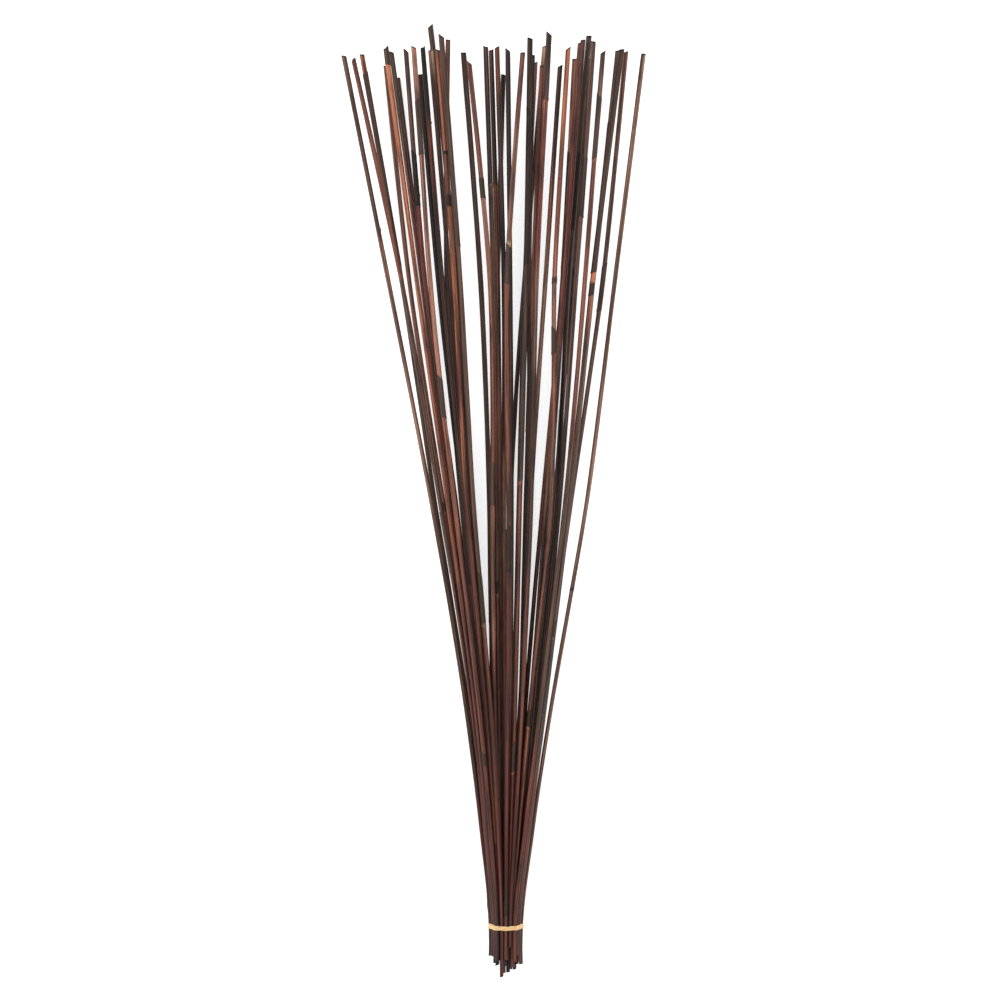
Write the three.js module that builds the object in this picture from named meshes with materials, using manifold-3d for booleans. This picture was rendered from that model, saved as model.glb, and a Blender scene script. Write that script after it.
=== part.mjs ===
// A bundle of long reed sticks that fan out towards their tips, tied near the foot with raffia.
// It lies on a surface, in millimetres: X runs across the fan, Y from the feet to the tips, Z up.

import * as THREE from 'three';
import { mergeVertices } from 'three/addons/utils/BufferGeometryUtils.js';
import Module from 'manifold-3d';

// Driving dimensions of a stick. It is a little thicker at its tip than at its foot.
const FOOT_RADIUS = 1.65;
const TIP_RADIUS = 2.1;
const STICK_SIDES = 8;
const STICK_SEGMENTS = 10;

// Inside the tie the sticks lie in level rows, each row nestled between the sticks of the one below.
// PITCH is from stick to stick in a row, and the rows open from FOOT_RISE apart to TIP_RISE.
const PITCH = 3.65;
const FOOT_RISE = 3.4;
const TIP_RISE = 8.5;
const TIP_REACH = 740;
const WANDER = 1.8;

// Distances from the tie at which a stick's place across the fan is given.
const STATIONS = [540, 360, 180];

// Driving dimensions of the tie and its knot.
const TIE_GAP = 0.3;
const TIE_THICKNESS = 0.7;
const TIE_WIDTH = 4;
const TIE_ARC_SEGMENTS = 5;
const KNOT_HALF_SIZE = new THREE.Vector3(1.6, 2.7, 2.9);
const KNOT_SPHERE_SEGMENTS = 12;
const KNOT_SPHERE_RINGS = 8;
const TAIL_SIZE = new THREE.Vector3(0.6, 3, 8);
const TAIL_SPREAD = 0.45;

const MATERIALS = {
  brown: new THREE.MeshStandardMaterial({ color: '#7a4e40', roughness: 0.6, metalness: 0 }),
  red: new THREE.MeshStandardMaterial({ color: '#6b332b', roughness: 0.55, metalness: 0 }),
  orange: new THREE.MeshStandardMaterial({ color: '#c26a45', roughness: 0.6, metalness: 0 }),
  dark: new THREE.MeshStandardMaterial({ color: '#2e2826', roughness: 0.65, metalness: 0 }),
  raffia: new THREE.MeshStandardMaterial({ color: '#dfb277', roughness: 0.8, metalness: 0 }),
};

// The rows of sticks, from the one on the surface to the top one, each from left to right.
// A stick is [tip along, tip across, across at each station, foot length, colour], all measured
// from the middle of the tie.
const ROWS = [
  [
    [721, -92, [-69, -45, -21], 22, 'brown'],
    [767, -64, [-41, -30, -14], 29, 'brown'],
    [724, -2, [-7, -8, -5], 34, 'dark'],
    [748, 33, [15, 4, 5], 30, 'red'],
    [737, 71, [55, 41, 24], 21, 'brown'],
  ],
  [
    [730, -102, [-81, -53, -26], 26, 'brown'],
    [752, -49, [-50, -38, -19], 19, 'red'],
    [734, 25, [16, 11, 6], 31, 'brown'],
    [730, 31, [23, 17, 12], 37, 'brown'],
    [731, 68, [53, 42, 24], 24, 'red'],
    [743, 102, [81, 55, 31], 28, 'brown'],
  ],
  [
    [739, -122, [-87, -60, -31], 20, 'orange'],
    [741, -97, [-70, -47, -23], 30, 'red'],
    [722, -73, [-57, -37, -18], 25, 'dark'],
    [740, -36, [-21, -14, -11], 33, 'dark'],
    [743, -13, [-7, -5, -3], 22, 'brown'],
    [735, 58, [47, 31, 16], 36, 'brown'],
    [754, 70, [52, 43, 25], 27, 'brown'],
  ],
  [
    [737, -137, [-98, -63, -33], 24, 'brown'],
    [743, -84, [-67, -42, -23], 30, 'dark'],
    [742, -64, [-47, -36, -18], 28, 'orange'],
    [745, -8, [-2, -2, -1], 21, 'dark'],
    [743, 2, [4, 5, 4], 38, 'dark'],
    [729, 46, [33, 21, 14], 26, 'brown'],
    [750, 65, [49, 37, 22], 31, 'red'],
    [738, 116, [91, 68, 37], 31, 'brown'],
  ],
  [
    [735, -129, [-87, -56, -28], 24, 'brown'],
    [744, -70, [-53, -35, -17], 32, 'dark'],
    [744, -17, [-10, -8, -6], 37, 'red'],
    [736, 22, [19, 19, 11], 24, 'brown'],
    [747, 62, [47, 34, 20], 35, 'red'],
    [748, 74, [58, 45, 27], 22, 'brown'],
    [740, 94, [73, 54, 32], 29, 'brown'],
  ],
  [
    [743, -101, [-74, -49, -25], 26, 'orange'],
    [740, -57, [-43, -33, -16], 22, 'orange'],
    [732, -31, [-13, -11, -9], 38, 'red'],
    [750, 20, [17, 12, 8], 27, 'red'],
    [742, 52, [41, 38, 19], 33, 'orange'],
    [740, 97, [72, 53, 30], 23, 'orange'],
  ],
  [
    [742, -77, [-63, -43, -22], 27, 'brown'],
    [752, -54, [-38, -27, -12], 41, 'brown'],
    [736, 14, [1, 2, 1], 26, 'brown'],
    [754, 36, [25, 21, 13], 16, 'red'],
    [738, 81, [66, 50, 28], 28, 'brown'],
  ],
];

// How far along a place is, as a share of the way from the tie to the tips.
function shareOfReach(along) {
  return Math.max(0, along) / TIP_REACH;
}

function radiusAt(along) {
  return FOOT_RADIUS + (TIP_RADIUS - FOOT_RADIUS) * shareOfReach(along);
}

// Height of a stick's middle. The lowest row lies on the surface, and the tie lifts its foot by the
// tie's own thickness. Higher sticks rise or dip a little of their own towards their tips.
function heightAt(along, row, place) {
  const share = shareOfReach(along);
  const lift = (TIE_THICKNESS + TIE_GAP) * Math.max(0, 1 - share) ** 2;
  const rowRise = FOOT_RISE + (TIP_RISE - FOOT_RISE) * share;
  const wander = row > 0 ? WANDER * Math.sin(2.4 * (5 * row + place)) * share * share : 0;
  return radiusAt(along) + lift + row * rowRise + wander;
}

function makeTwig(row, place, count, stick) {
  const [tipAlong, tipAcross, across, footLength, colour] = stick;
  const footAcross = (place - (count - 1) / 2) * PITCH;
  const centrePoint = (x, along) => new THREE.Vector3(x, along, heightAt(along, row, place));
  const centreline = new THREE.CatmullRomCurve3([
    centrePoint(footAcross, -footLength),
    centrePoint(footAcross, 0),
    ...STATIONS.map((along, i) => centrePoint(across[i], along)).reverse(),
    centrePoint(tipAcross, tipAlong),
  ]);

  // A cylinder of unit radius and length, whose sections are then moved on to the centreline.
  const geometry = new THREE.CylinderGeometry(1, 1, 1, STICK_SIDES, STICK_SEGMENTS);
  const position = geometry.attributes.position;
  for (let i = 0; i < position.count; i++) {
    const centre = centreline.getPoint(position.getY(i) + 0.5);
    const radius = radiusAt(centre.y);
    const x = centre.x + radius * position.getX(i);
    const z = centre.z + radius * position.getZ(i);
    position.setXYZ(i, x, centre.y, z);
  }
  geometry.computeVertexNormals();

  const twig = new THREE.Mesh(geometry, MATERIALS[colour]);
  twig.name = `twig_${row + 1}_${place + 1}`;
  return twig;
}

// Corners of the tied rows' outline, anticlockwise from the right end of the middle row.
function outlineCorners() {
  const halfRows = (ROWS.length - 1) / 2;
  const middle = (ROWS[halfRows].length - 1) / 2 * PITCH;
  const outer = (ROWS[0].length - 1) / 2 * PITCH;
  const height = halfRows * FOOT_RISE;
  return [
    new THREE.Vector2(middle, 0),
    new THREE.Vector2(outer, height),
    new THREE.Vector2(-outer, height),
    new THREE.Vector2(-middle, 0),
    new THREE.Vector2(-outer, -height),
    new THREE.Vector2(outer, -height),
  ];
}

// The line that lies the given distance outside the corners, with a round at each corner.
function outlineAround(corners, distance, path) {
  corners.forEach((corner, i) => {
    const before = corners[(i + corners.length - 1) % corners.length];
    const after = corners[(i + 1) % corners.length];
    const startAngle = corner.clone().sub(before).angle() - Math.PI / 2;
    const endAngle = after.clone().sub(corner).angle() - Math.PI / 2;
    path.absarc(corner.x, corner.y, distance, startAngle, endAngle, false);
  });
  return path;
}

function toManifold(wasm, geometry) {
  geometry.deleteAttribute('normal');
  geometry.deleteAttribute('uv');
  const merged = mergeVertices(geometry);
  return new wasm.Manifold(new wasm.Mesh({
    numProp: 3,
    vertProperties: new Float32Array(merged.attributes.position.array),
    triVerts: new Uint32Array(merged.index.array),
  }));
}

function fromManifold(solid) {
  const mesh = solid.getMesh();
  const geometry = new THREE.BufferGeometry();
  geometry.setAttribute('position', new THREE.BufferAttribute(mesh.vertProperties, 3));
  geometry.setIndex(new THREE.BufferAttribute(mesh.triVerts, 1));
  geometry.computeVertexNormals();
  return geometry;
}

// One flat strip of raffia around all the sticks, knotted on the lower right flank, with two
// short tails. Its underside is a level face that the bundle rests on.
function makeTie(wasm) {
  const corners = outlineCorners();
  const innerDistance = FOOT_RADIUS + TIE_GAP;
  const outerDistance = innerDistance + TIE_THICKNESS;
  const outline = outlineAround(corners, outerDistance, new THREE.Shape());
  outline.holes.push(outlineAround(corners, innerDistance, new THREE.Path()));
  const band = new THREE.ExtrudeGeometry(outline, {
    depth: TIE_WIDTH,
    bevelEnabled: false,
    curveSegments: TIE_ARC_SEGMENTS,
  });
  band.translate(0, 0, -TIE_WIDTH / 2);
  band.rotateX(Math.PI / 2);

  const flank = corners[0].clone().sub(corners[5]);
  const flankAngle = flank.angle() - Math.PI / 2;
  const flankMiddle = corners[5].clone().add(flank.multiplyScalar(0.5));
  const onFlank = (geometry, outwards) => {
    geometry.rotateY(-flankAngle);
    const distance = outerDistance + outwards;
    const x = flankMiddle.x + distance * Math.cos(flankAngle);
    const z = flankMiddle.y + distance * Math.sin(flankAngle);
    return geometry.translate(x, 0, z);
  };

  const knot = new THREE.SphereGeometry(1, KNOT_SPHERE_SEGMENTS, KNOT_SPHERE_RINGS);
  knot.scale(KNOT_HALF_SIZE.x, KNOT_HALF_SIZE.y, KNOT_HALF_SIZE.z);
  onFlank(knot, KNOT_HALF_SIZE.x / 2);

  const tails = [-1, 1].map((side) => {
    const tail = new THREE.BoxGeometry(TAIL_SIZE.x, TAIL_SIZE.y, TAIL_SIZE.z);
    tail.translate(0, 0, side * TAIL_SIZE.z / 2);
    tail.rotateX(Math.PI / 2 - side * TAIL_SPREAD);
    return onFlank(tail, KNOT_HALF_SIZE.x / 2);
  });

  let solid = toManifold(wasm, band).add(toManifold(wasm, knot));
  for (const tail of tails) {
    solid = solid.add(toManifold(wasm, tail));
  }

  const tie = new THREE.Mesh(fromManifold(solid), MATERIALS.raffia);
  tie.name = 'raffia_tie';
  tie.position.z = outerDistance + (ROWS.length - 1) / 2 * FOOT_RISE;
  return tie;
}

const wasm = await Module();
wasm.setup();

const bundle = new THREE.Group();
ROWS.forEach((sticks, row) => {
  sticks.forEach((stick, place) => bundle.add(makeTwig(row, place, sticks.length, stick)));
});
bundle.add(makeTie(wasm));

// The origin is the middle of the bundle's footprint, on the surface.
const middle = new THREE.Box3().setFromObject(bundle).getCenter(new THREE.Vector3());
bundle.position.set(-middle.x, -middle.y, 0);

export default bundle;
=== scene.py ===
# A bundle of dyed reed sticks, fanned out at the tips and tied near the foot with raffia.
# It lies on a lit white table, and the camera looks straight down on it. Lengths are in metres.

import math
import random

import bmesh
import bpy
import numpy as np
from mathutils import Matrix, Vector


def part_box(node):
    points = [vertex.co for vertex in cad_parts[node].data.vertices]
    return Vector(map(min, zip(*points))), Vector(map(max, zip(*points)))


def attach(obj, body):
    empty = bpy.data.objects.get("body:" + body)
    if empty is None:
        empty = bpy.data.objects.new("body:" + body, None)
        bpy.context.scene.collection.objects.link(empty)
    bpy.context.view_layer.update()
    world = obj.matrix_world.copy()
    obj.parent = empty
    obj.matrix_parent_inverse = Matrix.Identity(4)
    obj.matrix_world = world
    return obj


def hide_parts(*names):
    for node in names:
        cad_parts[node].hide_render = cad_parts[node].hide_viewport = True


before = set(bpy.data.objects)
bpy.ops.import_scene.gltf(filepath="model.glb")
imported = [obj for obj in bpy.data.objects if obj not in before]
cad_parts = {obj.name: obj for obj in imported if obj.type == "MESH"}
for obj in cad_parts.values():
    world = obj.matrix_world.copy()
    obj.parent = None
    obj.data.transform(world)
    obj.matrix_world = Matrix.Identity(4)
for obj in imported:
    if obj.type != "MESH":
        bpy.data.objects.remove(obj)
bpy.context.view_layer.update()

# ---------------------------------------------------------------- reed sticks
# Each stick is one grown stem of reed, cut to length and dyed brown. It swells at its joints, where
# the papery sheath of a leaf wraps it for some way. The dye takes unevenly, paler where a
# sheath has come away, and both ends are sawn or snapped across.

MM = 0.001
REED_RADIUS = 1.9 * MM
REED_SIDES = 24
FLUTE_DEPTH = 0.035
SECTION_STEP = 12 * MM
JOINT_HALF_LENGTH = 2.2 * MM
JOINT_SWELL = 1.1
SHEATH_THICKNESS = 0.22 * MM
SHEATH_FLARE = 1.03
SHEATH_TEAR = (-1.2 * MM, 2.2 * MM)
FOOT_SLOPE = 0.35
END_WALL = 0.5 * MM
END_DEPTH = 1.0 * MM
# Painted shade: the sticks' colour is darkened low down along them, on their flanks as the bundle lies,
# and most on sticks inside the bunch, standing in for the shadow between packed sticks.
SHADE_HEIGHT = 430 * MM
OUTER_LOW_SHADE = 0.74
INNER_LOW_SHADE = 0.12
FLANK_SHADE = 0.95
END_DYE = 0.35
END_DYE_REACH = 1.3 * MM
DYE_RUN = 11 * MM
SHORT_BAND = 4 * MM
PLAIN_BAND = 8 * MM
LONG_SHEATH = 20 * MM
JOINT_SPACING = 12 * MM
TIP_LENGTH = 10 * MM
JOINT_BEND = 0.5 * MM
SHOOT_SIDES = 7
SHOOT_RADII = (0.45 * MM, 0.08 * MM)
SHOOT_LEAN = 60
NEAR = 0.1 * MM

BARE_DYES = {
    "rose": "#8F5F4C",
    "dust": "#825E4B",
    "russet": "#764433",
    "umber": "#644738",
    "coffee": "#493025",
    "mahogany": "#6D372A",
    "copper": "#955840",
    "amber": "#A66141",
    "straw": "#7E5B37",
    "bone": "#AF896D",
    "ebony": "#2A1D17",
}
SHEATH_DYES = {"ash": "#534036", "charcoal": "#382C28", "olive": "#483829"}

# For each stick: the slope of its tip, how far the tip is torn in millimetres, and its dye bands from
# the foot up, each with the distance from the tie to its upper end in millimetres. TIP is past all of
# the tips, so the last band runs on to the stick's own end.
TIP = 999
REEDS = {
    "twig_1_1": (0.2, 0.4, [(300, "mahogany"), (520, "coffee"), (600, "charcoal"), (TIP, "coffee")]),
    "twig_1_2": (1.3, 1.0, [(150, "russet"), (420, "coffee"), (716, "ebony"), (TIP, "ash")]),
    "twig_1_3": (-0.3, 0.6, [(330, "russet"), (480, "coffee"), (TIP, "ebony")]),
    "twig_1_4": (0.1, 2.0, [(300, "mahogany"), (560, "coffee"), (735, "russet"), (TIP, "bone")]),
    "twig_1_5": (0.0, 0.4, [(240, "umber"), (470, "coffee"), (560, "charcoal"), (TIP, "coffee")]),
    "twig_2_1": (0.0, 0.5, [(200, "mahogany"), (352, "russet"), (360, "ash"), (TIP, "rose")]),
    "twig_2_2": (-0.1, 0.3, [(260, "coffee"), (480, "mahogany"), (600, "coffee"), (TIP, "russet")]),
    "twig_2_3": (0.6, 0.8, [(200, "mahogany"), (430, "umber"), (690, "ebony"), (TIP, "mahogany")]),
    "twig_2_4": (0.0, 0.3, [(260, "mahogany"), (420, "coffee"), (500, "ash"), (TIP, "russet")]),
    "twig_2_5": (0.2, 0.4, [(180, "mahogany"), (350, "umber"), (440, "ash"), (TIP, "coffee")]),
    "twig_2_6": (0.5, 0.8, [(90, "russet"), (523, "umber"), (561, "ash"), (700, "umber"),
                            (TIP, "russet")]),
    "twig_3_1": (-0.1, 0.8, [(90, "mahogany"), (204, "russet"), (560, "umber"), (722, "ash"),
                             (TIP, "copper")]),
    "twig_3_2": (-0.3, 0.5, [(160, "russet"), (305, "umber"), (318, "ash"), (650, "russet"),
                             (TIP, "umber")]),
    "twig_3_3": (0.1, 0.6, [(180, "mahogany"), (400, "coffee"), (TIP, "ebony")]),
    "twig_3_4": (0.0, 0.2, [(245, "coffee"), (258, "umber"), (TIP, "ash")]),
    "twig_3_5": (0.3, 1.6, [(42, "mahogany"), (57, "ash"), (618, "russet"), (626, "copper"),
                            (628, "straw"), (TIP, "coffee")]),
    "twig_3_6": (0.0, 0.4, [(250, "mahogany"), (555, "russet"), (557, "amber"), (655, "charcoal"),
                            (TIP, "rose")]),
    "twig_3_7": (0.0, 0.3, [(160, "mahogany"), (380, "umber"), (590, "coffee"), (655, "charcoal"),
                            (TIP, "ash")]),
    "twig_4_1": (-0.2, 0.4, [(26, "ash"), (120, "mahogany"), (350, "umber"), (574, "dust"),
                             (583, "copper"), (TIP, "umber")]),
    "twig_4_2": (-0.9, 1.4, [(200, "mahogany"), (470, "coffee"), (610, "mahogany"), (655, "charcoal"),
                             (TIP, "umber")]),
    "twig_4_3": (0.3, 2.0, [(290, "mahogany"), (335, "ash"), (728, "coffee"), (TIP, "bone")]),
    "twig_4_4": (0.5, 0.8, [(280, "russet"), (400, "umber"), (600, "ebony"), (705, "coffee"),
                            (TIP, "russet")]),
    "twig_4_5": (-0.9, 0.6, [(180, "mahogany"), (330, "umber"), (600, "coffee"), (TIP, "ebony")]),
    "twig_4_6": (0.5, 0.5, [(190, "mahogany"), (395, "umber"), (580, "dust"), (640, "russet"),
                            (TIP, "coffee")]),
    "twig_4_7": (0.1, 0.4, [(216, "mahogany"), (219, "amber"), (260, "ash"), (480, "coffee"),
                            (700, "mahogany"), (TIP, "coffee")]),
    "twig_4_8": (0.0, 0.2, [(60, "russet"), (286, "dust"), (288, "coffee"), (533, "dust"),
                            (546, "umber"), (TIP, "dust")]),
    "twig_5_1": (1.0, 1.2, [(170, "mahogany"), (300, "russet"), (350, "ash"), (548, "umber"),
                            (552, "copper"), (TIP, "russet")]),
    "twig_5_2": (0.6, 1.4, [(250, "mahogany"), (420, "umber"), (620, "coffee"), (677, "mahogany"),
                            (TIP, "ebony")]),
    "twig_5_3": (-0.4, 1.6, [(280, "russet"), (283, "straw"), (293, "olive"), (626, "umber"),
                             (628, "straw"), (TIP, "coffee")]),
    "twig_5_4": (0.0, 0.4, [(250, "russet"), (380, "ash"), (590, "coffee"), (TIP, "ebony")]),
    "twig_5_5": (0.4, 0.4, [(216, "mahogany"), (350, "coffee"), (500, "umber"), (690, "mahogany"),
                            (TIP, "russet")]),
    "twig_5_6": (-0.3, 0.4, [(140, "russet"), (430, "coffee"), (600, "umber"), (650, "ash"),
                             (TIP, "umber")]),
    "twig_5_7": (0.1, 0.5, [(150, "russet"), (400, "umber"), (555, "umber"), (680, "ash"),
                            (TIP, "umber")]),
    "twig_6_1": (0.9, 1.2, [(250, "mahogany"), (440, "russet"), (560, "copper"), (727, "amber"),
                            (TIP, "ash")]),
    "twig_6_2": (-0.3, 0.6, [(57, "mahogany"), (70, "ash"), (390, "russet"), (440, "copper"),
                             (480, "mahogany"), (608, "amber"), (618, "charcoal"), (652, "russet"),
                             (655, "ebony"), (738, "amber"), (TIP, "ebony")]),
    "twig_6_3": (-1.8, 0.4, [(10, "russet"), (31, "olive"), (130, "mahogany"), (240, "russet"),
                             (355, "rose"), (357, "copper"), (393, "ash"), (530, "russet"),
                             (615, "rose"), (631, "olive"), (TIP, "russet")]),
    "twig_6_4": (-0.4, 0.3, [(131, "mahogany"), (133, "amber"), (157, "ash"), (375, "russet"),
                             (378, "copper"), (560, "ash"), (690, "charcoal"), (TIP, "ash")]),
    "twig_6_5": (0.8, 0.3, [(100, "russet"), (169, "copper"), (171, "amber"), (184, "ash"),
                            (330, "russet"), (420, "rose"), (485, "copper"), (506, "ash"),
                            (544, "rose"), (548, "ash"), (665, "copper"), (TIP, "amber")]),
    "twig_6_6": (0.2, 0.7, [(120, "mahogany"), (244, "umber"), (246, "straw"), (258, "olive"),
                            (507, "umber"), (534, "copper"), (544, "ash"), (546, "straw"),
                            (553, "amber"), (TIP, "ash")]),
    "twig_7_1": (-0.5, 1.2, [(40, "coffee"), (138, "mahogany"), (148, "olive"), (150, "straw"),
                             (330, "russet"), (431, "copper"), (465, "ash"), (651, "rose"),
                             (696, "ash"), (TIP, "rose")]),
    "twig_7_2": (-0.9, 0.4, [(100, "mahogany"), (255, "russet"), (258, "straw"), (300, "olive"),
                             (575, "umber"), (TIP, "ash")]),
    "twig_7_3": (0.0, 1.6, [(10, "russet"), (21, "olive"), (23, "straw"), (301, "mahogany"),
                            (303, "ebony"), (339, "olive"), (543, "russet"), (575, "ash"),
                            (578, "bone"), (670, "rose"), (TIP, "russet")]),
    "twig_7_4": (-1.0, 0.4, [(157, "mahogany"), (300, "russet"), (470, "coffee"), (560, "umber"),
                             (688, "mahogany"), (697, "amber"), (TIP, "ash")]),
    "twig_7_5": (0.8, 0.3, [(160, "mahogany"), (400, "umber"), (645, "russet"), (648, "amber"),
                            (700, "ash"), (TIP, "umber")]),
}

# Buds and slivers that stand off a stick: distance from the tie, side and length, in millimetres. One
# with a length below nought points to the foot.
SHOOTS = {
    "twig_4_1": [(588, 1, 5), (26, -1, -12)],
    "twig_4_2": [(616, 1, 5)],
    "twig_4_3": [(330, -1, 4)],
    "twig_5_2": [(678, 1, 3)],
    "twig_6_2": [(652, -1, 3)],
}

tie_low, tie_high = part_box("raffia_tie")
TIE_Y = (tie_low[1] + tie_high[1]) / 2


def linear(hex_colour):
    """A colour's linear red, green and blue, from its sRGB hex value."""
    shares = [int(hex_colour[i : i + 2], 16) / 255 for i in (1, 3, 5)]
    return [s / 12.92 if s <= 0.04045 else ((s + 0.055) / 1.055) ** 2.4 for s in shares]


def add_node(tree, kind, settings=None, **inputs):
    """Adds a node, sets its own settings, and gives each named input a value or a link."""
    node = tree.nodes.new(kind)
    for name, value in (settings or {}).items():
        setattr(node, name, value)
    for name, value in inputs.items():
        socket = node.inputs[int(name[1:])] if name[0] == "_" else node.inputs[name.replace("_", " ")]
        if isinstance(value, bpy.types.NodeSocket):
            tree.links.new(value, socket)
        else:
            socket.default_value = value
    return node


def new_material(name):
    """An empty material, its node tree, its shader and its straight-stem coordinates in millimetres."""
    material = bpy.data.materials.new(name)
    material.use_nodes = True
    tree = material.node_tree
    shader = tree.nodes["Principled BSDF"]
    grain = add_node(tree, "ShaderNodeAttribute", {"attribute_name": "grain"}).outputs["Vector"]
    return material, tree, shader, grain


def streaks(tree, grain, across, along, detail):
    """Noise whose features are across by along millimetres, drawn out along the stem."""
    scale = (1 / across, 1 / along, 1 / across)
    place = add_node(tree, "ShaderNodeVectorMath", {"operation": "MULTIPLY"}, _0=grain, _1=scale)
    noise = add_node(
        tree, "ShaderNodeTexNoise", _0=place.outputs["Vector"], Scale=1.0, Detail=detail, Roughness=0.6
    )
    return noise.outputs["Fac"]


def spread(tree, value, low, high, to_low, to_high):
    """A value between low and high, moved to between to_low and to_high."""
    moved = add_node(
        tree, "ShaderNodeMapRange", {"interpolation_type": "SMOOTHSTEP"},
        _0=value, _1=low, _2=high, _3=to_low, _4=to_high,
    )
    return moved.outputs["Result"]


def blend(tree, share, first, second):
    """Two colours mixed by a share."""
    mixed = add_node(tree, "ShaderNodeMix", {"data_type": "RGBA"}, _0=share, _6=first, _7=second)
    return mixed.outputs[2]


def shaded(tree, colour, share):
    """A colour made lighter or darker by a share."""
    scaled = add_node(tree, "ShaderNodeVectorMath", {"operation": "SCALE"}, _0=colour, Scale=share)
    return scaled.outputs["Vector"]


def raise_grain(tree, shader, height, depth):
    """Gives the shader a relief of that depth in metres."""
    bump = add_node(tree, "ShaderNodeBump", Strength=1.0, Distance=depth, Height=height)
    tree.links.new(bump.outputs["Normal"], shader.inputs["Normal"])


def dyed_reed():
    """Dyed reed stem: a hard, silica-rich skin, satin, with long ribs and fibres that hold the dye
    unevenly. The real fibres are 0.1 mm wide, and are drawn 0.4 mm wide so that they show."""
    material, tree, shader, grain = new_material("dyed_reed_stem")
    # The dye attribute also carries painted shade: darker low down, on the flanks as the bundle lies, and
    # inside the bunch.
    dye = add_node(tree, "ShaderNodeAttribute", {"attribute_name": "dye"}).outputs["Vector"]
    ribs = streaks(tree, grain, 1.1, 90, 1)
    fibres = streaks(tree, grain, 0.4, 40, 3)
    patches = streaks(tree, grain, 6, 42, 3)
    specks = streaks(tree, grain, 0.5, 1.1, 0)
    colour = shaded(tree, dye, spread(tree, ribs, 0.34, 0.66, 0.45, 1.65))
    colour = shaded(tree, colour, spread(tree, fibres, 0.3, 0.7, 0.65, 1.35))
    dark = (*linear("#231815"), 1)
    colour = blend(tree, spread(tree, patches, 0.52, 0.7, 0, 0.65), colour, dark)
    colour = blend(tree, spread(tree, specks, 0.7, 0.76, 0, 0.75), colour, dark)
    tree.links.new(colour, shader.inputs["Base Color"])
    tree.links.new(spread(tree, fibres, 0.3, 0.7, 0.4, 0.6), shader.inputs["Roughness"])
    shader.inputs["Specular IOR Level"].default_value = 0.35
    raise_grain(tree, shader, ribs, 0.2 * MM)
    return material


def leaf_sheath():
    """Dried leaf sheath: papery and matt, ribbed by parallel veins, worn paler on the ribs.
    The real veins are 0.3 mm apart, and are drawn 0.7 mm apart so that they show."""
    material, tree, shader, grain = new_material("dried_leaf_sheath")
    # The dye attribute also carries painted shade: darker low down, on the flanks as the bundle lies, and
    # inside the bunch.
    dye = add_node(tree, "ShaderNodeAttribute", {"attribute_name": "dye"}).outputs["Vector"]
    veins = streaks(tree, grain, 0.7, 60, 4)
    worn = streaks(tree, grain, 1.6, 12, 4)
    colour = shaded(tree, dye, spread(tree, veins, 0.34, 0.66, 0.4, 1.55))
    pale = (*linear("#7A6657"), 1)
    colour = blend(tree, spread(tree, worn, 0.58, 0.72, 0, 0.35), colour, pale)
    tree.links.new(colour, shader.inputs["Base Color"])
    tree.links.new(spread(tree, worn, 0.4, 0.7, 0.6, 0.8), shader.inputs["Roughness"])
    shader.inputs["Specular IOR Level"].default_value = 0.25
    raise_grain(tree, shader, veins, 0.2 * MM)
    return material


def cut_pith():
    """Cut end of a reed: a woody ring round soft, matt pith, dark where the dye soaks in. The real pores
    are 0.1 mm wide, and are drawn 0.5 mm wide so that they show."""
    material, tree, shader, grain = new_material("cut_reed_pith")
    pores = streaks(tree, grain, 0.5, 2, 2)
    dark, light = (*linear("#2A1D18"), 1), (*linear("#7A5A46"), 1)
    colour = blend(tree, spread(tree, pores, 0.35, 0.65, 0, 1), dark, light)
    tree.links.new(colour, shader.inputs["Base Color"])
    shader.inputs["Roughness"].default_value = 0.85
    return material


def stick_sections(node):
    """For each section of a stick's solid, from foot to tip: its Y, middle X, middle Z and radius."""
    points = np.array([vertex.co for vertex in node.data.vertices])
    levels = points[:, 1].round(5)
    sections = []
    for level in np.unique(levels):
        ring = points[levels == level]
        low, high = ring.min(axis=0), ring.max(axis=0)
        middle = (low + high) / 2
        sections.append((middle[1], middle[0], middle[2], (high[0] - low[0]) / 2))
    return np.array(sections)


def smooth_line(at, stations, values):
    """A smooth line through the values at the stations, read at each place in at."""
    slopes = np.gradient(values, stations)
    i = np.clip(np.searchsorted(stations, at) - 1, 0, len(stations) - 2)
    step = stations[i + 1] - stations[i]
    t = np.clip((at - stations[i]) / step, 0, 1)
    start = values[i] * (1 + 2 * t) * (1 - t) ** 2 + slopes[i] * step * t * (1 - t) ** 2
    end = values[i + 1] * (3 - 2 * t) * t**2 + slopes[i + 1] * step * (t - 1) * t**2
    return start + end


def pick(reed, kind, wanted):
    """In edit mode, selects only the vertices, edges or faces that wanted says yes to."""
    bpy.ops.mesh.select_mode(type=kind)
    bpy.ops.mesh.select_all(action="DESELECT")
    cage = bmesh.from_edit_mesh(reed.data)
    parts = {"VERT": cage.verts, "EDGE": cage.edges, "FACE": cage.faces}[kind]
    for part in parts:
        if wanted(part):
            part.select_set(True)
    bmesh.update_edit_mesh(reed.data)


def slice_reed(y, slope_x=0.0, slope_z=0.0, **keep):
    """Cuts all of the straight reed by a plane that crosses its middle at y."""
    bpy.ops.mesh.select_all(action="SELECT")
    bpy.ops.mesh.bisect(plane_co=(0, y, 0), plane_no=(-slope_x, 1, -slope_z), **keep)


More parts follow.
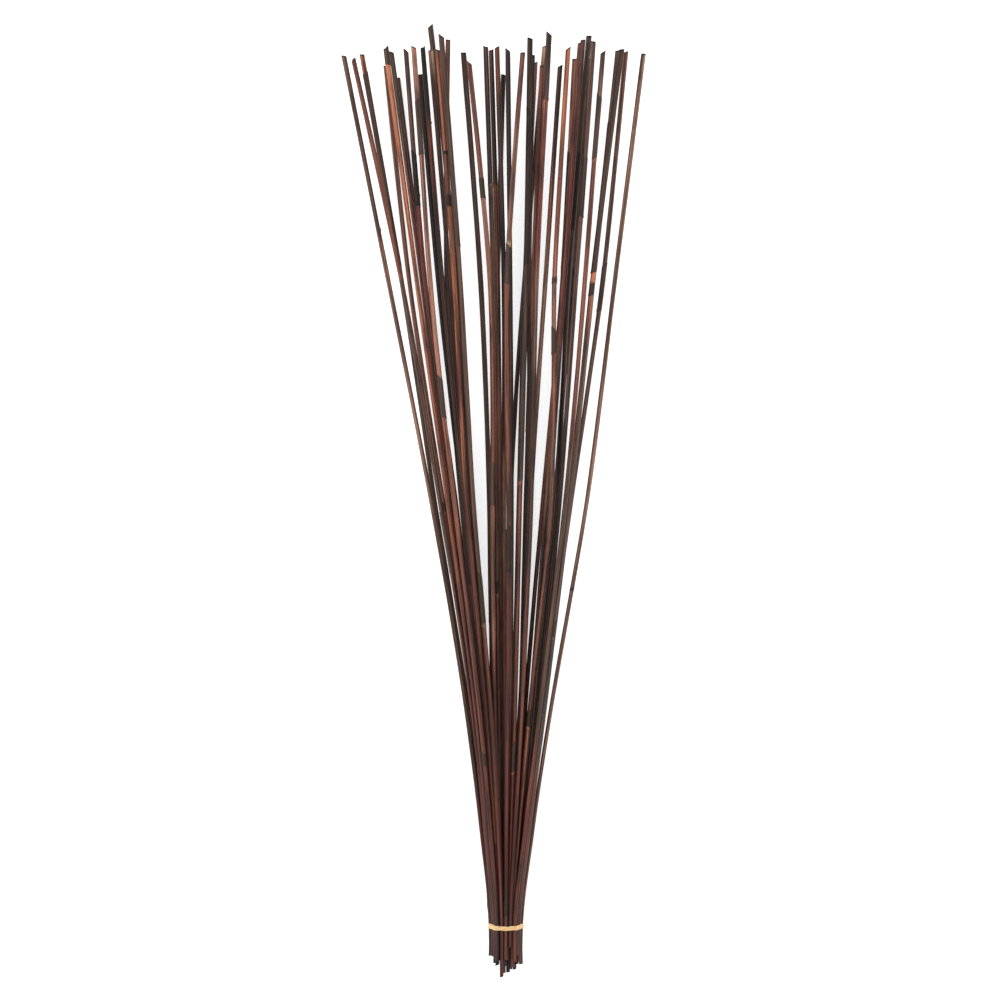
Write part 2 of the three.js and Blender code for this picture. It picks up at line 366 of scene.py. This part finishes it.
class Band:
    """One stretch of a stick under one dye, between two slanted edges."""

    def __init__(self, start, end, finish, chance):
        self.start, self.end = start, end
        self.is_sheath = finish in SHEATH_DYES
        self.is_plain = not self.is_sheath and end - start > PLAIN_BAND
        self.slope_x = chance.choice((-1, 1)) * chance.uniform(0.15, 0.5)
        self.slope_z = chance.uniform(-0.3, 0.3)
        if self.is_sheath and end - start > LONG_SHEATH:
            self.slope_x *= 3
        strength = chance.uniform(0.85, 1.15)
        self.dye = strength * np.array(linear({**BARE_DYES, **SHEATH_DYES}[finish]))

    def room_above(self, place):
        """How far a place on the straight reed is below the band's upper edge."""
        return self.end - place[1] + self.slope_x * place[0] + self.slope_z * place[2]


def stick_bands(foot, bands, chance):
    """The dye bands of a stick, from its foot to its tip."""
    laid, start = [], foot
    for upper, finish in bands:
        end = TIE_Y + upper * MM
        laid.append(Band(start, end, finish, chance))
        start = end
    return laid


def joint_places(bands, tip):
    """The joints of a stick: each sheath grows from one, and each narrow band is one."""
    places = [band.start for band in bands if band.is_sheath]
    places += [(b.start + b.end) / 2 for b in bands if b.end - b.start < SHORT_BAND]
    kept = []
    for place in sorted(places):
        if place < tip - TIP_LENGTH and (not kept or place - kept[-1] > JOINT_SPACING):
            kept.append(place)
    return kept


def band_at(bands, place):
    """The number of the dye band that a place on the straight reed lies in."""
    return next((i for i, band in enumerate(bands) if band.room_above(place) >= 0), len(bands) - 1)


def cut_to_length(foot, tip, tip_slope, chance):
    """Cuts the reed across, the tip at its own slope and the foot nearly square. Two more cuts under the
    tip keep the edge of its dark dye sharp. Returns where the two ends cross the reed's middle."""
    foot_slope = chance.uniform(-FOOT_SLOPE, FOOT_SLOPE)
    tip_middle = tip - abs(tip_slope) * REED_RADIUS
    foot_middle = foot + abs(foot_slope) * REED_RADIUS
    slice_reed(tip_middle - 1.6 * END_DYE_REACH, tip_slope)
    slice_reed(tip_middle - END_DYE_REACH, tip_slope)
    slice_reed(tip_middle, tip_slope, use_fill=True, clear_outer=True)
    slice_reed(foot_middle, foot_slope, use_fill=True, clear_inner=True)
    return tip_middle, foot_middle


def swell_joints(reed, joints):
    """Thickens the reed in a narrow ring at each joint."""
    for y in joints:
        for offset in (-JOINT_HALF_LENGTH, 0, JOINT_HALF_LENGTH):
            slice_reed(y + offset)
        pick(reed, "VERT", lambda v: abs(v.co.y - y) < NEAR)
        bpy.ops.transform.resize(value=(JOINT_SWELL, 1, JOINT_SWELL), center_override=(0, y, 0))


def wrap_sheaths(reed, bands, chance):
    """Raises each leaf sheath as a thin skin, flared and torn along its edges."""

    def is_sheathed(face):
        return abs(face.normal.y) < 0.5 and bands[band_at(bands, face.calc_center_median())].is_sheath

    pick(reed, "FACE", is_sheathed)
    if any(band.is_sheath for band in bands):
        bpy.ops.mesh.extrude_region_shrink_fatten(
            TRANSFORM_OT_shrink_fatten={"value": SHEATH_THICKNESS}
        )
    cage = bmesh.from_edit_mesh(reed.data)
    for vertex in cage.verts:
        raised = math.hypot(vertex.co.x, vertex.co.z) > REED_RADIUS + 0.4 * SHEATH_THICKNESS
        for band in bands:
            if raised and band.is_sheath and abs(band.room_above(vertex.co)) < 2 * NEAR:
                vertex.co.y += chance.uniform(*SHEATH_TEAR)
                vertex.co.x *= SHEATH_FLARE
                vertex.co.z *= SHEATH_FLARE


def finish_ends(reed, tip_middle, foot_middle, tip_slope, tear, chance):
    """Sinks the soft pith inside each cut end's woody wall, and splinters a torn tip."""
    reach = 3 * REED_RADIUS
    for end, inwards in ((tip_middle, -1), (foot_middle, 1)):
        pick(reed, "FACE", lambda f: abs(f.calc_center_median().y - end) < reach and len(f.verts) > 8)
        bpy.ops.mesh.inset(thickness=END_WALL)
        bpy.ops.transform.translate(value=(0, inwards * END_DEPTH, 0))
    cage = bmesh.from_edit_mesh(reed.data)
    for vertex in cage.verts:
        beyond = vertex.co.y - tip_slope * vertex.co.x - tip_middle
        if abs(beyond) < NEAR:
            vertex.co.y -= chance.random() ** 2 * tear * MM
    bmesh.update_edit_mesh(reed.data)


def model_straight_reed(name, foot, tip, tip_slope, tear, bands, joints, chance):
    """A straight reed along Y, left in edit mode: fluted, cut, swollen at its joints and sheathed."""
    bpy.ops.object.select_all(action="DESELECT")
    bpy.ops.mesh.primitive_cylinder_add(
        vertices=REED_SIDES,
        radius=REED_RADIUS,
        depth=tip - foot + 4 * REED_RADIUS,
        location=(0, (foot + tip) / 2, 0),
        rotation=(math.pi / 2, 0, 0),
    )
    bpy.ops.object.transform_apply(location=True, rotation=True, scale=True)
    reed = bpy.context.object
    reed.name = reed.data.name = name
    bpy.ops.object.mode_set(mode="EDIT")

    # Shallow flutes run the length of the stem.
    turn = 2 * math.pi / REED_SIDES
    pick(reed, "VERT", lambda v: round(math.atan2(v.co.z, v.co.x) / turn) % 2)
    flute = 1 - FLUTE_DEPTH
    bpy.ops.transform.resize(value=(flute, 1, flute), center_override=(0, 0, 0))

    tip_middle, foot_middle = cut_to_length(foot, tip, tip_slope, chance)
    for y in np.arange(foot + SECTION_STEP, tip_middle - SECTION_STEP / 2, SECTION_STEP):
        slice_reed(y)
    swell_joints(reed, joints)
    for band in bands[:-1]:
        slice_reed(band.end, band.slope_x, band.slope_z)
    wrap_sheaths(reed, bands, chance)
    finish_ends(reed, tip_middle, foot_middle, tip_slope, tear, chance)
    bpy.ops.mesh.select_all(action="DESELECT")
    return reed


def add_shoot(y, side, length, chance):
    """In edit mode, adds a dry bud or a sliver of skin that leans off the reed, a short one the most."""
    lean = math.radians(SHOOT_LEAN / abs(length))
    towards = math.copysign(1, length)
    bpy.ops.mesh.primitive_cone_add(
        vertices=SHOOT_SIDES,
        radius1=SHOOT_RADII[0],
        radius2=SHOOT_RADII[1],
        depth=abs(length) * MM,
        location=(
            side * (0.85 * REED_RADIUS + abs(length) * MM / 2 * math.sin(lean)),
            y + length * MM / 2 * math.cos(lean),
            chance.uniform(0, 0.4) * REED_RADIUS,
        ),
        rotation=(-towards * math.pi / 2, 0, -towards * side * lean),
    )


def dye_at(bands, number, place):
    """The dye at a place in that band. Dyes on bare reed run together where they meet."""
    dye = bands[number].dye
    if not bands[number].is_plain:
        return dye
    for neighbour, edge in ((number + 1, number), (number - 1, number - 1)):
        if 0 <= neighbour < len(bands) and bands[neighbour].is_plain:
            share = 0.5 * max(0, 1 - abs(bands[edge].room_above(place)) / DYE_RUN)
            dye = (1 - share) * dye + share * bands[neighbour].dye
    return dye


def dye_reed_and_paint_shade(reed, bands, number, low_shade, tip, tip_slope):
    """Writes each face's dye and finish, and each point's place on the straight stem, in millimetres.
    The colour is also darkened low down, on the flanks as the bundle lies, and inside the bunch. That
    isn't dye: it stands in for the deep shadow between packed sticks, which soft light leaves pale."""
    points = np.empty(3 * len(reed.data.vertices), np.float32)
    reed.data.vertices.foreach_get("co", points)
    grain = points.reshape(-1, 3) / MM + (40 * number, 1000 * number, 0)
    reed.data.attributes.new("grain", "FLOAT_VECTOR", "POINT").data.foreach_set("vector", grain.ravel())

    dyes_with_painted_shade = []
    tip_middle = tip - abs(tip_slope) * REED_RADIUS
    for face in reed.data.polygons:
        band = band_at(bands, face.center)
        is_end = abs(face.normal.y) > 0.55 and len(face.vertices) != 3
        face.material_index = 2 if is_end else int(bands[band].is_sheath)
        for corner in face.vertices:
            place = reed.data.vertices[corner].co
            # Painted shade: darker low down along the stick, on its flanks as the bundle lies, and on
            # sticks inside the bunch.
            height = min(1, max(0, (place.y - TIE_Y) / SHADE_HEIGHT))
            share = low_shade + (1 - low_shade) * height
            share *= 1 - FLANK_SHADE * (1 - 0.7 * height) * (1 - abs(face.normal.z))
            if place.y - tip_slope * place.x > tip_middle - 1.1 * END_DYE_REACH:
                share *= END_DYE
            dyes_with_painted_shade.extend(share * dye_at(bands, band, place))
    reed.data.attributes.new("dye", "FLOAT_VECTOR", "CORNER").data.foreach_set("vector", dyes_with_painted_shade)


def bend_reed(reed, sections, joints, chance):
    """Moves the straight reed on to its stick's middle line. Its thickness follows the stick's and wavers
    by a few hundredths, it changes direction a little at each joint, and it stays above the table."""
    points = np.empty(3 * len(reed.data.vertices), np.float64)
    reed.data.vertices.foreach_get("co", points)
    points = points.reshape(-1, 3)
    y = points[:, 1]
    stations, middle_x, middle_z, radii = sections.T
    thickness = smooth_line(y, stations, radii) / REED_RADIUS
    phase = chance.uniform(0, 6)
    thickness *= 1 + 0.02 * np.sin(y / (31 * MM) + phase) + 0.015 * np.sin(y / (13 * MM) + 2 * phase)

    corners = [stations[0], TIE_Y + 60 * MM, *[j for j in joints if j > TIE_Y + 90 * MM], stations[-1]]
    offsets = [0, 0] + [chance.uniform(-JOINT_BEND, JOINT_BEND) for _ in corners[2:]]
    line_x = smooth_line(y, stations, middle_x) + np.interp(y, corners, offsets)
    points[:, 0] = points[:, 0] * thickness + line_x
    points[:, 2] = points[:, 2] * thickness + smooth_line(y, stations, middle_z)
    points[:, 2] -= min(0, points[:, 2].min())
    reed.data.vertices.foreach_set("co", points.ravel())
    reed.data.update()


reed_finishes = [dyed_reed(), leaf_sheath(), cut_pith()]

for number, (name, (tip_slope, tear, band_list)) in enumerate(REEDS.items()):
    chance = random.Random(number)
    sections = stick_sections(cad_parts[name])
    foot, tip = sections[0, 0], sections[-1, 0]
    bands = stick_bands(foot, band_list, chance)
    joints = joint_places(bands, tip)
    reed = model_straight_reed(name + "_reed", foot, tip, tip_slope, tear, bands, joints, chance)
    for distance, side, length in SHOOTS.get(name, []):
        add_shoot(TIE_Y + distance * MM, side, length, chance)
    bpy.ops.object.mode_set(mode="OBJECT")
    row, place = name.split("_")[1:]
    # Sticks inside the bunch get deeper painted shade low down than those on its outside.
    is_outer = row in "67" or place == "1" or f"twig_{row}_{int(place) + 1}" not in REEDS
    dye_reed_and_paint_shade(reed, bands, number, OUTER_LOW_SHADE if is_outer else INNER_LOW_SHADE, tip, tip_slope)
    bend_reed(reed, sections, joints, chance)
    for material in reed_finishes:
        reed.data.materials.append(material)
    bpy.ops.object.shade_smooth_by_angle(angle=math.radians(38))
    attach(reed, "root")
    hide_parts(name)

# ---------------------------------------------------------------- raffia tie
# One strip of raffia, the dried skin of a palm leaf. It goes twice round the sticks, creased along its
# length, and its two turns cross where they dip in a shallow V on top of the bundle. It is knotted on
# the lower right flank, and the knot's two short tails are split at their ends.

RAFFIA_WIDTH = 3.2 * MM
RAFFIA_THICKNESS = 0.28 * MM
RAFFIA_CREASE = 0.14 * MM
RAFFIA_POINTS = 264
RAFFIA_ROWS = 12
TURN_STEP = 0.38 * MM
TURN_LEAN = 0.55 * MM
V_DEPTH = 1.3 * MM
TIE_LIFT = 1.5 * MM
CORNER_STICKS = ["twig_4_8", "twig_7_5", "twig_7_1", "twig_4_1", "twig_1_1", "twig_1_5"]
KNOT_HALF_SIZE = (1.3 * MM, 2.1 * MM, 2.3 * MM)
TAIL_LENGTH = 9 * MM
TAIL_WIDTH = 2.6 * MM
TAIL_SPREAD = 0.45
TAIL_COLUMNS = 18
TAIL_ROWS = 30
SAG_SHARE = 0.4
STICK_GAP = 0.12 * MM
BEND_POINTS = 12
WRAP_RADII = (1.55 * MM, 0.8 * MM)


def middle_at_tie(name):
    """Where the middle of a stick is, in X and Z, level with the tie."""
    sections = stick_sections(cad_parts[name])
    return sections[np.argmin(abs(sections[:, 0] - TIE_Y)), 1:3]


def loop_round(corners, distance, count):
    """Evenly spaced points, in X and Z, of a strip drawn tight at that distance from the corners, and
    how far round each one is from the knot."""
    line = []
    for i, corner in enumerate(corners):
        before = corner - corners[i - 1]
        after = corners[(i + 1) % len(corners)] - corner
        start = math.atan2(before[1], before[0]) - math.pi / 2
        turn = (math.atan2(after[1], after[0]) - math.pi / 2 - start) % (2 * math.pi)
        for angle in np.linspace(start, start + turn, BEND_POINTS):
            line.append(corner + distance * np.array((math.cos(angle), math.sin(angle))))
    line = np.array([*line, line[0]])
    lengths = np.concatenate(([0], np.cumsum(np.linalg.norm(np.diff(line, axis=0), axis=1))))
    at = np.linspace(0, lengths[-1], count, endpoint=False)
    loop = np.stack([np.interp(at, lengths, line[:, axis]) for axis in (0, 1)], axis=1)
    from_knot = np.linalg.norm(corners[0] - corners[-1]) / 2
    return loop, (at + from_knot) % lengths[-1]


def crease(along, across, seed):
    """Height, from -1 to 1, of raffia's lengthwise creases, from distances in metres."""
    along, across = along / MM, across / MM
    drift = 0.5 * np.sin(along / 7.3 + seed) + 0.3 * np.sin(along / 3.1 + 2 * seed)
    ridges = 1 - 2 * abs(np.sin(math.pi * (across + drift) / 1.1 + seed))
    return 0.7 * ridges + 0.3 * np.sin(along / 1.7 + 4 * across + seed)


def raffia():
    """Raffia: a thin strip of dried palm leaf, pale gold and satin, with darker tones along its length.
    The real fibres are 0.1 mm wide, and are drawn 0.3 mm wide so that they show."""
    material, tree, shader, grain = new_material("dried_raffia")
    fibres = streaks(tree, grain, 0.3, 6, 3)
    tones = streaks(tree, grain, 0.9, 4, 2)
    dark, light = (*linear("#F7B66E"), 1), (*linear("#FFE6B0"), 1)
    colour = blend(tree, spread(tree, tones, 0.35, 0.65, 0, 1), dark, light)
    colour = shaded(tree, colour, spread(tree, fibres, 0.3, 0.7, 0.82, 1.0))
    tree.links.new(colour, shader.inputs["Base Color"])
    tree.links.new(spread(tree, fibres, 0.3, 0.7, 0.5, 0.7), shader.inputs["Roughness"])
    raise_grain(tree, shader, fibres, 0.06 * MM)
    return material


def get_points(piece):
    """The places of a piece's vertices, one row each."""
    points = np.empty(3 * len(piece.data.vertices))
    piece.data.vertices.foreach_get("co", points)
    return points.reshape(-1, 3)


def finish_raffia(piece, along, across, points):
    """Moves a piece of raffia's vertices into place, writes where each one is on the flat strip, in
    millimetres, and smooths it."""
    piece.data.vertices.foreach_set("co", points.ravel())
    piece.data.update()
    grain = np.stack((across / MM, along / MM, 0 * along), axis=1).astype(np.float32)
    piece.data.attributes.new("grain", "FLOAT_VECTOR", "POINT").data.foreach_set("vector", grain.ravel())
    piece.data.materials.append(raffia_material)
    bpy.ops.object.shade_smooth_by_angle(angle=math.radians(50))


def thicken(piece):
    """Gives a sheet of raffia its thickness, half on each side."""
    bpy.ops.object.modifier_add(type="SOLIDIFY")
    piece.modifiers["Solidify"].thickness = RAFFIA_THICKNESS
    piece.modifiers["Solidify"].offset = 0
    bpy.ops.object.modifier_apply(modifier="Solidify")


def lay_turn(distance, lean, seed):
    """One turn of the strip, at that distance from the corner sticks' middle lines."""
    bpy.ops.object.select_all(action="DESELECT")
    bpy.ops.mesh.primitive_circle_add(
        vertices=RAFFIA_POINTS, radius=1, location=(0, -RAFFIA_WIDTH / 2, 0), rotation=(math.pi / 2, 0, 0)
    )
    bpy.ops.object.transform_apply(location=True, rotation=True, scale=True)
    turn = bpy.context.object
    bpy.ops.object.mode_set(mode="EDIT")
    bpy.ops.mesh.select_mode(type="EDGE")
    bpy.ops.mesh.select_all(action="SELECT")
    for _ in range(RAFFIA_ROWS):
        bpy.ops.mesh.extrude_region_move(
            TRANSFORM_OT_translate={"value": (0, RAFFIA_WIDTH / RAFFIA_ROWS, 0)}
        )
    bpy.ops.mesh.select_all(action="SELECT")
    bpy.ops.mesh.normals_make_consistent(inside=False)
    bpy.ops.object.mode_set(mode="OBJECT")

    loop, from_knot = loop_round(corner_middles, distance, RAFFIA_POINTS)
    tangent = np.roll(loop, -1, axis=0) - np.roll(loop, 1, axis=0)
    tangent /= np.linalg.norm(tangent, axis=1)[:, None]
    outward = np.stack((tangent[:, 1], -tangent[:, 0]), axis=1)
    to_sticks = np.linalg.norm(loop[:, None] - stick_middles[None], axis=2).min(axis=1)
    sag = SAG_SHARE * (to_sticks - distance)
    side = (loop[:, 0] - loop[:, 0].mean()) / np.ptp(loop[:, 0]) * 2
    is_top = loop[:, 1] > loop[:, 1].mean()
    dip = TIE_LIFT - V_DEPTH * is_top * (1 - np.sqrt(side**2 + 0.01)) + lean * side

    points = get_points(turn)
    at = np.round(np.arctan2(points[:, 2], points[:, 0]) / (2 * math.pi / RAFFIA_POINTS)).astype(int)
    along, across = from_knot[at], points[:, 1] + RAFFIA_WIDTH / 2
    height = RAFFIA_CREASE * crease(along, across, seed) - sag[at]
    width = 1 + 0.1 * np.sin(along / (2.3 * MM) + seed) + 0.06 * np.sin(along / (0.9 * MM))
    points[:, 0] = loop[at, 0] + outward[at, 0] * height
    points[:, 1] = TIE_Y + dip[at] + points[:, 1] * width
    points[:, 2] = loop[at, 1] + outward[at, 1] * height
    finish_raffia(turn, along, across, points)
    thicken(turn)
    return turn


def on_flank(points):
    """Moves points from the knot's own frame, X outwards and Z up the flank, to the bundle's."""
    out, along, up = points.T
    x = knot_middle[0] + out * knot_outward[0] + up * knot_upward[0]
    z = knot_middle[1] + out * knot_outward[1] + up * knot_upward[1]
    return np.stack((x, along + TIE_Y + TIE_LIFT, z), axis=1)


def pull_knot():
    """The knot's pleated lump, and the loop of strip drawn over it."""
    bpy.ops.object.select_all(action="DESELECT")
    bpy.ops.mesh.primitive_uv_sphere_add(segments=40, ring_count=20, radius=1, location=(0, 0, 0))
    bpy.ops.transform.resize(value=KNOT_HALF_SIZE)
    bpy.ops.object.transform_apply(location=True, rotation=True, scale=True)
    lump = bpy.context.object
    points = get_points(lump)
    turn = np.arctan2(points[:, 1], points[:, 2])
    pleats = 1 + 0.09 * crease(2 * MM * turn, points[:, 0] * 1.2 + 0.6 * points[:, 2], 0.4)
    finish_raffia(lump, points[:, 2] + points[:, 1], points[:, 0] * 2, on_flank(points * pleats[:, None]))

    bpy.ops.object.select_all(action="DESELECT")
    bpy.ops.mesh.primitive_torus_add(
        major_segments=48,
        minor_segments=16,
        major_radius=WRAP_RADII[0],
        minor_radius=WRAP_RADII[1],
        rotation=(math.pi / 2, 0, 0.35),
    )
    bpy.ops.object.transform_apply(location=True, rotation=True, scale=True)
    wrap = bpy.context.object
    points = get_points(wrap)
    points[:, 2] *= 1.15
    turn = np.arctan2(points[:, 2], points[:, 0])
    pleats = 1 + 0.07 * crease(1.6 * MM * turn, points[:, 1], 2.1)
    finish_raffia(wrap, 1.6 * MM * turn, points[:, 1] * 1.5, on_flank(points * pleats[:, None]))
    return [lump, wrap]


def trim_tail(side, seed):
    """A short tail that comes out of the knot along the sticks, folds a little and ends in splits."""
    bpy.ops.object.select_all(action="DESELECT")
    bpy.ops.mesh.primitive_grid_add(x_subdivisions=TAIL_COLUMNS, y_subdivisions=TAIL_ROWS, size=1)
    tail = bpy.context.object
    bpy.ops.object.mode_set(mode="EDIT")

    def is_split(face):
        middle = face.calc_center_median()
        return middle.y > 0.1 and round(middle.x * TAIL_COLUMNS + TAIL_COLUMNS / 2 + 0.5) % 5 == 0

    pick(tail, "FACE", is_split)
    bpy.ops.mesh.delete(type="FACE")
    bpy.ops.object.mode_set(mode="OBJECT")
    points = get_points(tail)
    share, across = points[:, 1] + 0.5, points[:, 0] * TAIL_WIDTH
    ragged = 0.12 * np.sin(across / MM * 4.1 + seed) * share**3
    along = (share + ragged) * TAIL_LENGTH
    across = across * (0.55 + 0.6 * share - 0.25 * share**3)
    height = 1.4 * RAFFIA_CREASE * crease(along, across, seed) + 0.35 * MM * np.sin(3 * share + seed)
    spread_angle = TAIL_SPREAD * (1 - 0.3 * share)
    up = along * np.sin(spread_angle) + across * np.cos(spread_angle)
    out = side * (along * np.cos(spread_angle) - across * np.sin(spread_angle))
    placed = np.stack((height + 0.3 * MM, out, up), axis=1)
    finish_raffia(tail, along, across, on_flank(placed))
    thicken(tail)
    return tail


raffia_material = raffia()
corner_middles = [middle_at_tie(name) for name in CORNER_STICKS]
stick_middles = np.array([middle_at_tie(name) for name in REEDS])
stick_radius = np.min(stick_sections(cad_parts["twig_4_8"])[:, 3])
first_distance = stick_radius + RAFFIA_THICKNESS / 2 + STICK_GAP
flank = corner_middles[0] - corner_middles[-1]
knot_upward = flank / np.linalg.norm(flank)
knot_outward = np.array((knot_upward[1], -knot_upward[0]))
knot_distance = first_distance + TURN_STEP + KNOT_HALF_SIZE[0] / 2
knot_middle = corner_middles[-1] + flank / 2 + knot_distance * knot_outward

tie_parts = [
    lay_turn(first_distance, -TURN_LEAN, 0.7),
    lay_turn(first_distance + TURN_STEP, TURN_LEAN, 2.9),
    *pull_knot(),
    trim_tail(1, 0.3),
    trim_tail(-1, 1.9),
]
bpy.ops.object.select_all(action="DESELECT")
for part in tie_parts:
    part.select_set(True)
bpy.context.view_layer.objects.active = tie_parts[0]
bpy.ops.object.join()
tie = bpy.context.object
tie.name = tie.data.name = "raffia_tie_strip"
bpy.ops.object.origin_set(type="ORIGIN_CURSOR")
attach(tie, "root")
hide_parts("raffia_tie")

# ---------------------------------------------------------------- surface, light and camera
# The bundle lies on a light table of white acrylic, lit from inside, so the gaps between the sticks
# stay nearly white. Two wide soft lamps light it, and a long lens looks straight down on its middle.

SURFACE_SIZE = 8.0
TABLE_GLOW = 0.65
SKY_STRENGTH = 0.8
CAMERA_LENS_MM = 135
CAMERA_SENSOR_MM = 36
VIEW_WIDTH = 0.850
VIEW_CENTRE = (0.0055, -0.001)

bpy.ops.object.select_all(action="DESELECT")
bpy.ops.mesh.primitive_plane_add(size=SURFACE_SIZE, location=(0, 0, 0))
surface = bpy.context.object
surface.name = "light_table"

# White acrylic sheet, satin on top, so it glows evenly and shows no reflections.
acrylic = bpy.data.materials.new("lit_white_acrylic")
acrylic.use_nodes = True
acrylic_shader = acrylic.node_tree.nodes["Principled BSDF"].inputs
acrylic_shader["Base Color"].default_value = (*linear("#F6F6F5"), 1)
acrylic_shader["Roughness"].default_value = 0.7
acrylic_shader["Emission Color"].default_value = (*linear("#FDFEFF"), 1)
acrylic_shader["Emission Strength"].default_value = TABLE_GLOW
surface.data.materials.append(acrylic)

world = bpy.data.worlds.new("studio")
world.use_nodes = True
sky = world.node_tree.nodes["Background"].inputs
sky["Color"].default_value = (*linear("#F7F9FC"), 1)
sky["Strength"].default_value = SKY_STRENGTH
bpy.context.scene.world = world


def soft_lamp(name, place, size, watts):
    """A square soft lamp that faces the middle of the bundle."""
    bpy.ops.object.light_add(type="AREA", location=place)
    lamp = bpy.context.object
    lamp.name = name
    lamp.data.size = size
    lamp.data.energy = watts
    lamp.rotation_euler = (-Vector(place)).to_track_quat("-Z", "Y").to_euler()


soft_lamp("key_lamp", (-1.6, 0.9, 2.2), 1.5, 20)
soft_lamp("fill_lamp", (1.9, -0.6, 2.0), 1.8, 7)

bpy.ops.object.camera_add(
    location=(*VIEW_CENTRE, VIEW_WIDTH * CAMERA_LENS_MM / CAMERA_SENSOR_MM), rotation=(0, 0, 0)
)
camera = bpy.context.object
camera.data.lens = CAMERA_LENS_MM
camera.data.sensor_width = CAMERA_SENSOR_MM
camera.data.clip_end = 50
bpy.context.scene.camera = camera
bpy.context.scene.view_settings.view_transform = "Standard"
